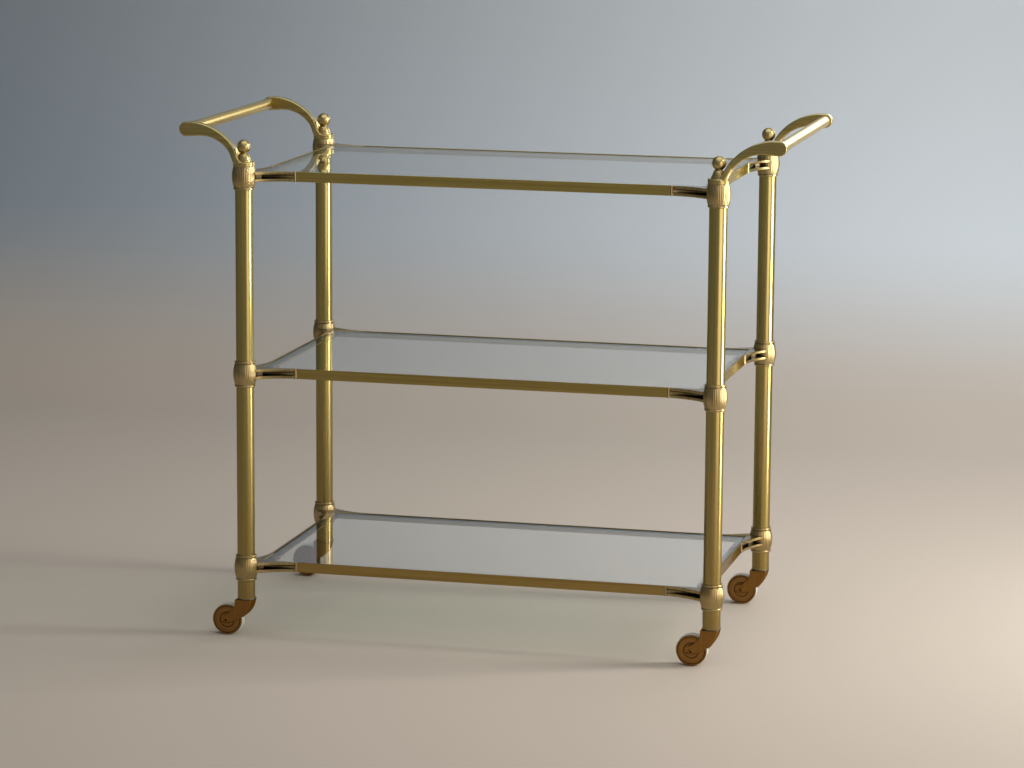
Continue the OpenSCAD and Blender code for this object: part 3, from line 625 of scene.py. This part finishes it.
# %% Wheels, treads and axles
WHEEL_R = 26.5
GROOVES = (0.86, 0.48)
GROOVE_CUT = ((0.7, 10), (0.45, 9.55), (0, 9.1), (-0.45, 9.55), (-0.7, 10))
half_wheel = [(19.5, 0), (19.5, 8.2), (25.9, 8.2), (25.9, 9.5), (25.75, 9.85), (25.4, 10)]
for share in GROOVES:
    half_wheel += [(share * WHEEL_R + out, height) for out, height in GROOVE_CUT]
half_wheel += [(8.4, 10), (7.5, 10.2), (7.05, 10.8), (7, 13.8), (6.6, 14.2), (3.06, 14.2)]
other_half = [(r, -h) for r, h in reversed(half_wheel)]
wheel_section = other_half + half_wheel[1:] + other_half[:1]
tread_section = [(19.5, -8.2), (25.6, -8.2), (26.1, -7.9), (26.4, -7.2), (26.5, -6.2), (26.5, 6.2), (26.4, 7.2),
                 (26.1, 7.9), (25.6, 8.2), (19.5, 8.2), (19.5, -8.2)]
head = [(4.2, 17.0), (4.15, 17.3), (3.7, 17.75), (2.8, 18), (2.2, 17.9), (1.8, 17.3), (1.7, 15.0), (0, 14.8)]
axle_section = [(r, -h) for r, h in reversed(head)] + [(3, -17), (3, 17)] + head
SIDEWAYS = [(math.pi / 2, 0, 0)]

for corner, (sx, sy) in CORNERS.items():
    side = "left" if sx < 0 else "right"
    hub = [tuple(middle(f"axle_{corner}"))]
    wheel = turned_piece(f"spun_wheel_{corner}", wheel_section, 96, wheel_brass[side], hub, SIDEWAYS)
    carry(wheel, f"roller_{corner}", wheel_brass[side], "wheel_brass", f"wheel_{corner}")
    tread = turned_piece(f"rubber_tread_{corner}", tread_section, 96, grey_rubber, hub, SIDEWAYS)
    carry(tread, f"roller_{corner}", grey_rubber, "grey_tread", f"tyre_{corner}")
    axle = turned_piece(f"riveted_axle_{corner}", axle_section, 32, fork_brass, hub, SIDEWAYS)
    carry(axle, f"caster_{corner}", fork_brass, "axle_brass", f"axle_{corner}")


# %% Copies of model pieces with rounded edges
def form_of(node):
    """The mesh of a model piece as a bmesh, with its loose triangles joined."""
    form = bmesh.new()
    form.from_mesh(nodes[node].data)
    bmesh.ops.remove_doubles(form, verts=form.verts, dist=WELD)
    return form


def join_flat(form):
    """Joins the triangles that lie in one plane into one face."""
    bmesh.ops.dissolve_limit(form, angle_limit=math.radians(0.3), verts=form.verts, edges=form.edges)


def soft_edges(form, name, width, corner=30, leave=None):
    """Bakes a form with its real edges rounded by a width in millimetres, and frees the form.

    Edges sharper than the corner angle are rounded, except at points where leave says so.
    """
    join_flat(form)
    weight = form.edges.layers.float.new("bevel_weight_edge")
    for edge in form.edges:
        real = edge.is_manifold and edge.calc_face_angle() > math.radians(corner)
        kept = leave and any(leave(vertex.co) for vertex in edge.verts)
        edge[weight] = 1.0 if real and not kept else 0.0
    mesh = bpy.data.meshes.new(name)
    form.to_mesh(mesh)
    form.free()
    if "custom_normal" in mesh.attributes:
        mesh.attributes.remove(mesh.attributes["custom_normal"])
    mesh.shade_smooth()
    thing = put(f"{name}_sharp", mesh)
    bevel = thing.modifiers.new("edges", "BEVEL")
    bevel.width = width * MM
    bevel.segments = 2
    bevel.limit_method = "WEIGHT"
    bevel.use_clamp_overlap = False
    bevel.miter_outer = "MITER_ARC"
    weighted = thing.modifiers.new("flat_faces_flat", "WEIGHTED_NORMAL")
    weighted.keep_sharp = True
    return baked(thing, name)


PRESSED_EDGE, MILLED_EDGE, CAST_EDGE = 0.4, 0.4, 0.45

for corner in CORNERS:
    fork = soft_edges(form_of(f"fork_{corner}"), f"pressed_fork_{corner}", PRESSED_EDGE)
    carry(fork, f"caster_{corner}", fork_brass, "caster_brass", f"fork_{corner}")

# %% [markdown]
# ## Glass shelves
# A pane is cut, its edges are ground, and a narrow slope breaks each sharp edge.
# The model has that shape already. What it can't say is that the ground edge is
# satin and the faces are clear, so a copy of it takes a second finish there.

# %% Panes with ground edges
LEVEL_FACE = 0.9
clear_glass = float_glass()
for level in LEVELS:
    form = form_of(f"glass_{level}")
    join_flat(form)
    mesh = bpy.data.meshes.new(f"glass_pane_{level}")
    form.to_mesh(mesh)
    form.free()
    pane = put(f"glass_pane_{level}", mesh)
    carry(pane, "cart", clear_glass, "clear_glass", f"glass_{level}")
    no_glare.objects.link(pane)
    mesh.materials.append(ground_edge)
    for face in mesh.polygons:
        face.material_index = 0 if abs(face.normal.z) > LEVEL_FACE else 1
for member in no_glare.collection_objects:
    member.light_linking.link_state = "EXCLUDE"

# %% [markdown]
# ## Rails
# The rails are flat bar with a ledge for the glass on their inner side. Their
# edges are made 0.4 mm round, which draws the thin light line along the top of
# each rail.

# %% Round the edges of the twelve rails
for level in LEVELS:
    for side, brass in (("front", bar_along_x), ("back", bar_along_x), ("left", bar_along_y), ("right", bar_along_y)):
        node = f"rail_{level}_{side}"
        rail = soft_edges(form_of(node), f"flat_bar_{level}_{side}", MILLED_EDGE)
        carry(rail, "cart", brass, "rail_brass", node)

# %% [markdown]
# ## Cast corner sockets
# A reeded barrel holds the post, and two hollow arms reach along the rails. The
# reeds are the finest ornament on the cart: round ribs that run up the barrel
# and fade at both ends. Forty is a guess, because the photograph is too coarse
# to count them. They follow a rule, so a second Geometry Nodes tree presses them
# into a turned sleeve. The arms come from the model, with their edges rounded as
# a cast edge is after polishing. The model's smooth barrel is drawn in a little,
# so that only the reeded sleeve shows.

# %% The reeding tree
BARREL_R, BARREL_END_R, BARREL_HALF = 20.2, 17.4, 17.5
REEDS, REED_DEPTH = 40, 0.38
REED_STOP, REED_FADE = 0.4, 2.2
SLEEVE_WALL = 2.0


def reeding_tree():
    """Presses round reeds into a turned sleeve, as deep as the attribute reed says."""
    tree, given = start_tree("reeding", (
        ("Reeds", "NodeSocketInt", REEDS), ("Depth", "NodeSocketFloat", REED_DEPTH * MM),
        ("Finish", "NodeSocketMaterial", None)))
    here = add(tree, "GeometryNodeInputPosition")
    split = add(tree, "ShaderNodeSeparateXYZ", links={0: here})
    around = add(tree, "ShaderNodeMath", {"operation": "ARCTAN2"}, {0: split.outputs["Y"], 1: split.outputs["X"]})
    half_reeds = add(tree, "ShaderNodeMath", {"operation": "MULTIPLY", 1: 0.5}, {0: given["Reeds"]})
    phase = add(tree, "ShaderNodeMath", {"operation": "MULTIPLY"}, {0: around, 1: half_reeds})
    wave = add(tree, "ShaderNodeMath", {"operation": "COSINE"}, {0: phase})
    crest = add(tree, "ShaderNodeMath", {"operation": "ABSOLUTE"}, {0: wave})
    valley = add(tree, "ShaderNodeMath", {"operation": "SUBTRACT", 0: 1.0}, {1: crest})
    share = add(tree, "GeometryNodeInputNamedAttribute", {"data_type": "FLOAT", "Name": "reed"})
    cut = add(tree, "ShaderNodeMath", {"operation": "MULTIPLY"}, {0: valley, 1: share})
    depth = add(tree, "ShaderNodeMath", {"operation": "MULTIPLY"}, {0: cut, 1: given["Depth"]})
    level = add(tree, "ShaderNodeVectorMath", {"operation": "MULTIPLY", 1: (1, 1, 0)}, {0: here})
    outward = add(tree, "ShaderNodeVectorMath", {"operation": "NORMALIZE"}, {0: level})
    inward = add(tree, "ShaderNodeMath", {"operation": "MULTIPLY", 1: -1.0}, {0: depth})
    push = add(tree, "ShaderNodeVectorMath", {"operation": "SCALE"}, {0: outward, "Scale": inward})
    pressed = add(tree, "GeometryNodeSetPosition", links={"Geometry": given["Geometry"], "Offset": push})
    solid = add(tree, "GeometryNodeRealizeInstances", links={"Geometry": pressed})
    finished = add(tree, "GeometryNodeSetMaterial", links={"Geometry": solid, "Material": given["Finish"]})
    add(tree, "NodeGroupOutput", links={"Geometry": finished})
    return tree


# %% Turn one sleeve and press its reeds
sag = BARREL_R - BARREL_END_R
curve_r = (BARREL_HALF ** 2 + sag ** 2) / (2 * sag)


def barrel_at(height):
    """Radius of the barrel at a height above its middle, in millimetres."""
    return BARREL_R - curve_r + math.sqrt(max(0.0, curve_r ** 2 - height ** 2))


sleeve_heights = [-17.45, -16.9, -16.2, -15.2, -13, -9, -4.5, 0, 4.5, 9, 13, 15.2, 16.2, 16.9, 17.45]
inner = BARREL_END_R - SLEEVE_WALL
sleeve_section = [(inner, -17.45)] + [(barrel_at(h), h) for h in sleeve_heights] + [(inner, 17.45), (inner, -17.45)]
sleeve = turned_piece("reeded_sleeve", sleeve_section, 8 * REEDS, cast_brass, [(0, 0, 0)])
weights = sleeve.data.attributes.new("reed", "FLOAT", "POINT")
for item, vertex in zip(weights.data, sleeve.data.vertices):
    edge = (BARREL_HALF - REED_STOP - abs(vertex.co.z) / MM) / REED_FADE
    outside = math.hypot(vertex.co.x, vertex.co.y) > (inner + 0.5) * MM
    item.value = max(0.0, min(1.0, edge)) if outside else 0.0
press = sleeve.modifiers.new("reeds", "NODES")
press.node_group = reeding_tree()
press_sockets = {s.name: s.identifier for s in press.node_group.interface.items_tree if s.in_out == "INPUT"}
press[press_sockets["Reeds"]] = REEDS
press[press_sockets["Depth"]] = REED_DEPTH * MM
press[press_sockets["Finish"]] = cast_brass
sleeve = baked(sleeve, "pressed_sleeve")
print("one sleeve has", len(sleeve.data.vertices), "points and", REEDS, "reeds")


# %% [markdown]
# Each arm ends in a round upright bead, where the casting meets the flat bar. It
# stands a little proud of both, so it catches one bright line from top to bottom.

# %% Turn one bead
BEAD_R, BEAD_PROUD = 2.6, 1.2
ARM_REACH, RAIL_INSET, RAIL_H = 85.0, 19.5, 17.0
bead_half = RAIL_H / 2 + 0.3
bead_section = [(0, -bead_half), (BEAD_R - 0.7, -bead_half), (BEAD_R, -bead_half + 0.7),
                (BEAD_R, bead_half - 0.7), (BEAD_R - 0.7, bead_half), (0, bead_half)]
bead = turned_piece("upright_bead", bead_section, 28, cast_brass, [(0, 0, 0)])
bead_along = (ARM_REACH - BEAD_R) * MM
bead_inset = (RAIL_INSET + BEAD_R - BEAD_PROUD) * MM

# %% Join sleeve and beads to each casting's arms
BEAD_FROM = 80.5
ON_BARREL, DRAWN_IN = 0.08, 0.9


def at_bead(away):
    """True where a casting ends in the slim bead against its rail, which has no room for a bevel."""
    return max(abs(away.x), abs(away.y)) > BEAD_FROM * MM


def cast_socket(level, corner):
    """Arms and rings of one casting with the reeded sleeve round its post."""
    sx, sy = CORNERS[corner]
    axis = Vector((sx * post_x, sy * post_y, rail_z[level]))
    form = form_of(f"casting_{level}_{corner}")
    for vertex in form.verts:
        away = vertex.co - axis
        reach = math.hypot(away.x, away.y)
        height = away.z / MM
        if abs(height) <= BARREL_HALF + 0.01 and abs(reach / MM - barrel_at(height)) < ON_BARREL:
            drawn = (reach - DRAWN_IN * MM) / reach
            vertex.co = axis + Vector((away.x * drawn, away.y * drawn, away.z))
    piece = soft_edges(form, f"cast_socket_{level}_{corner}", CAST_EDGE, 40,
                       leave=lambda point: at_bead(point - axis))
    joined = bmesh.new()
    joined.from_mesh(piece.data)
    inward = Vector((-sx, -sy, 0))
    ends = [axis + inward * Vector((bead_along, bead_inset, 0)), axis + inward * Vector((bead_inset, bead_along, 0))]
    for part, place in ((sleeve, axis), (bead, ends[0]), (bead, ends[1])):
        first = len(joined.verts)
        joined.from_mesh(part.data)
        joined.verts.ensure_lookup_table()
        for vertex in joined.verts[first:]:
            vertex.co += place
    joined.to_mesh(piece.data)
    joined.free()
    carry(piece, "cart", cast_brass, "cast_brass", f"casting_{level}_{corner}")


for level in LEVELS:
    for corner in CORNERS:
        cast_socket(level, corner)
bpy.data.objects.remove(sleeve)
bpy.data.objects.remove(bead)

# %% [markdown]
# ## Handle arms
# The arm is the most sculpted piece. It grows out of the collar that caps the
# post, wraps the foot of the finial like a shell, and sweeps up and out to a
# rounded paddle that holds the hand bar. It is drawn as a loft: cross sections
# between an upper and a lower edge line, broad at the root and narrow at the
# tip. Each section is a rounded rectangle whose under side can be rounder than
# its top, because the root has to follow the round collar below, yet keeps a
# crisp rim above. A fine remesh melts loft and collar into one casting, and the
# hollow, the bores and the seat of the bar are cut after it, so that they stay
# crisp like machined holes.

# %% Edge lines of the arm, in millimetres outwards and up from the foot of the collar
HANDLE_OUT, HANDLE_UP = 99.0, 59.5
PADDLE_R, ARM_HALF, ROOT_HALF, CORNER_R = 12.4, 7.5, 16.2, 1.6
COLLAR_R, COLLAR_H, RING_LINE = 18.5, 7.6, 3.3
UPPER_R, LOWER_R = 99.7, 58.0
upper_mid = (HANDLE_OUT - 3, HANDLE_UP + PADDLE_R + 0.4 - UPPER_R)
lower_mid = (HANDLE_OUT - 26, HANDLE_UP - 10.5 - LOWER_R)
UPPER_FROM, UPPER_TO = -52.5, -4.6
LOWER_FROM, LOWER_TO = 146, 82
ROOT_TOP, ROOT_FOOT = (-5.0, 7.2), (17.6, 3.0)


def sine(a):
    """Sine of an angle in degrees."""
    return math.sin(math.radians(a))


def cosine(a):
    """Cosine of an angle in degrees."""
    return math.cos(math.radians(a))


def arm_half(share):
    """Half width of the arm: broad at 0, slender from 1 on."""
    return ARM_HALF + (ROOT_HALF - ARM_HALF) * cosine(90 * min(1, share)) ** 1.6


def arm_section(upper, lower, half, top_power, under_power, sides=56):
    """Rounded rectangle between a point of the upper and a point of the lower edge line."""
    ring = []
    for k in range(sides):
        c, s = cosine(360 * (k + 0.5) / sides), sine(360 * (k + 0.5) / sides)
        power = top_power if c > 0 else under_power
        m = (abs(c) ** power + abs(s) ** power) ** (-1 / power)
        ring.append(((upper[0] + lower[0]) / 2 + (upper[0] - lower[0]) / 2 * m * c, half * m * s,
                     (upper[1] + lower[1]) / 2 + (upper[1] - lower[1]) / 2 * m * c))
    return ring


def upper_at(a):
    """Point of the upper edge line of the sweep."""
    return upper_mid[0] + UPPER_R * sine(a), upper_mid[1] + UPPER_R * cosine(a)


def lower_at(b):
    """Point of the lower edge line of the sweep."""
    return lower_mid[0] + LOWER_R * cosine(b), lower_mid[1] + LOWER_R * sine(b)


def blend(start, start_pull, end, end_pull, t):
    """Point of a smooth curve between two points that leaves and arrives along the two pulls."""
    a, b, c, d = 2 * t ** 3 - 3 * t ** 2 + 1, t ** 3 - 2 * t ** 2 + t, 3 * t ** 2 - 2 * t ** 3, t ** 3 - t ** 2
    return tuple(a * p + b * q + c * r + d * u for p, q, r, u in zip(start, start_pull, end, end_pull))


def pull(length, angle):
    """A pull of a length in a direction, given as an angle in degrees."""
    return length * cosine(angle), length * sine(angle)


# %% All sections from root to tip
ROOT_SHARE = 0.8
ROOT_STEPS, SWEEP_STEPS = 18, 40
LEAVE_TOP, ARRIVE_TOP = pull(45, 15), pull(50, -UPPER_FROM)
LEAVE_FOOT, ARRIVE_FOOT = pull(22, 85), pull(22, LOWER_FROM - 90)
TIP_TURNS = (100, 92, 84, 76, 68, 60, 52, 45, 38, 32, 26, 21, 16, 12, 8, 4)


def arm_sections():
    """Cross sections of the arm: the root out of the collar, the sweep, and the round end of the paddle."""
    sections = []
    for i in range(ROOT_STEPS):
        s = i / ROOT_STEPS
        upper = blend(ROOT_TOP, LEAVE_TOP, upper_at(UPPER_FROM), ARRIVE_TOP, s)
        lower = blend(ROOT_FOOT, LEAVE_FOOT, lower_at(LOWER_FROM), ARRIVE_FOOT, s)
        sections.append(arm_section(upper, lower, arm_half(ROOT_SHARE * s), 10 - 4 * s, 2 + 2 * s))
    for i in range(SWEEP_STEPS + 1):
        s = i / SWEEP_STEPS
        a, b = UPPER_FROM + (UPPER_TO - UPPER_FROM) * s, LOWER_FROM + (LOWER_TO - LOWER_FROM) * s
        half = arm_half(ROOT_SHARE * (1 + s))
        sections.append(arm_section(upper_at(a), lower_at(b), half, 6 + 2 * s, min(10, 4 + 12 * s)))
    for a in TIP_TURNS:
        reach = (PADDLE_R * cosine(a), PADDLE_R * sine(a))
        d = min(CORNER_R, PADDLE_R - reach[0])
        half = ARM_HALF - CORNER_R + math.sqrt(CORNER_R ** 2 - (CORNER_R - d) ** 2)
        sections.append(arm_section((HANDLE_OUT + reach[0], HANDLE_UP + reach[1]),
                                    (HANDLE_OUT + reach[0], HANDLE_UP - reach[1]), half, 8, 10))
    return sections


def loft(sections):
    """A closed skin over rings of points, in millimetres."""
    form = bmesh.new()
    rings = [[form.verts.new([c * MM for c in point]) for point in ring] for ring in sections]
    for one, two in zip(rings, rings[1:]):
        for k in range(len(one)):
            j = (k + 1) % len(one)
            form.faces.new((one[k], one[j], two[j], two[k]))
    form.faces.new(rings[0])
    form.faces.new(list(reversed(rings[-1])))
    bmesh.ops.recalc_face_normals(form, faces=form.faces)
    return form


# %% Melt loft and collar together, then cut hollow, bores and seat
FOOT_GAP, CAP_THICK = 0.7, 4
POST_BORE_R, STEM_HOLE_R, SEAT_R, SEAT_DEEP = 15.05, 4.05, 9.55, 2
PAST_FOOT, PAST_TOP, HOLLOW_TOP = -5, 20, 60
MELT_GRAIN = 0.42


def cylinder(radius, low, high, place=(0, 0, 0), sideways=False, steps=96):
    """A closed cylinder in millimetres, upright or lying along y."""
    ring = [(radius * cosine(360 * i / steps), radius * sine(360 * i / steps)) for i in range(steps)]
    if sideways:
        rings = [[(place[0] + u, y, place[2] + v) for u, v in ring] for y in (low, high)]
    else:
        rings = [[(place[0] + u, place[1] + v, z) for u, v in ring] for z in (low, high)]
    mesh = bpy.data.meshes.new("cutter")
    form = loft(rings)
    form.to_mesh(mesh)
    form.free()
    return put("cutter", mesh)


collar_section = [(0, 0), (COLLAR_R - 0.5, 0), (COLLAR_R, 0.5), (COLLAR_R, RING_LINE - 0.5),
                  (COLLAR_R - 0.5, RING_LINE), (COLLAR_R, RING_LINE + 0.5), (COLLAR_R, COLLAR_H - 0.7),
                  (COLLAR_R - 0.7, COLLAR_H), (0, COLLAR_H)]
collar = turned_piece("collar_blank", collar_section, 128, arm_brass, [(0, 0, 0)])
blank = loft(arm_sections())
blank.from_mesh(collar.data)
bpy.data.objects.remove(collar)
blank_mesh = bpy.data.meshes.new("arm_blank")
blank.to_mesh(blank_mesh)
blank.free()
arm = put("arm_blank", blank_mesh)
melt = arm.modifiers.new("melt", "REMESH")
melt.mode = "VOXEL"
melt.voxel_size = MELT_GRAIN * MM
polish = arm.modifiers.new("polish", "SMOOTH")
polish.factor = 0.5
polish.iterations = 6
cutters = (cylinder(FOOT_R + FOOT_GAP, COLLAR_H, HOLLOW_TOP),
           cylinder(POST_BORE_R, PAST_FOOT, COLLAR_H - CAP_THICK),
           cylinder(STEM_HOLE_R, PAST_FOOT, PAST_TOP),
           cylinder(SEAT_R, ARM_HALF - SEAT_DEEP, PAST_TOP, (HANDLE_OUT, 0, HANDLE_UP), sideways=True))
for cutter in cutters:
    cut = arm.modifiers.new("cut", "BOOLEAN")
    cut.operation = "DIFFERENCE"
    cut.solver = "EXACT"
    cut.object = cutter
slim = arm.modifiers.new("slim", "DECIMATE")
slim.ratio = 0.55
arm = baked(arm, "cast_arm")
for cutter in cutters:
    bpy.data.objects.remove(cutter)
print("one arm has", len(arm.data.polygons), "faces")

# %% Four arms: the same casting, mirrored to each corner
collar_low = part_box("handle_arm_front_right")[0].z
for corner, (sx, sy) in CORNERS.items():
    form = bmesh.new()
    form.from_mesh(arm.data)
    for vertex in form.verts:
        u, v, h = vertex.co
        vertex.co = (sx * (post_x + u), sy * (post_y - v), collar_low + h)
    mesh = bpy.data.meshes.new(f"handle_arm_cast_{corner}")
    form.to_mesh(mesh)
    form.free()
    tidy_faces(mesh, 42)
    carry(put(f"handle_arm_cast_{corner}", mesh), "cart", arm_brass, "handle_brass", f"handle_arm_{corner}")
bpy.data.objects.remove(arm)

# %% [markdown]
# ## Posts and hand bars
# These are plain drawn tubes. The model's own meshes are already round and
# smooth, so they only get their finish, brushed along the tube.

# %% Finish the tubes
wear(drawn_tube, *(f"post_{corner}" for corner in CORNERS))
wear(hand_tube, "handle_bar_left", "handle_bar_right")
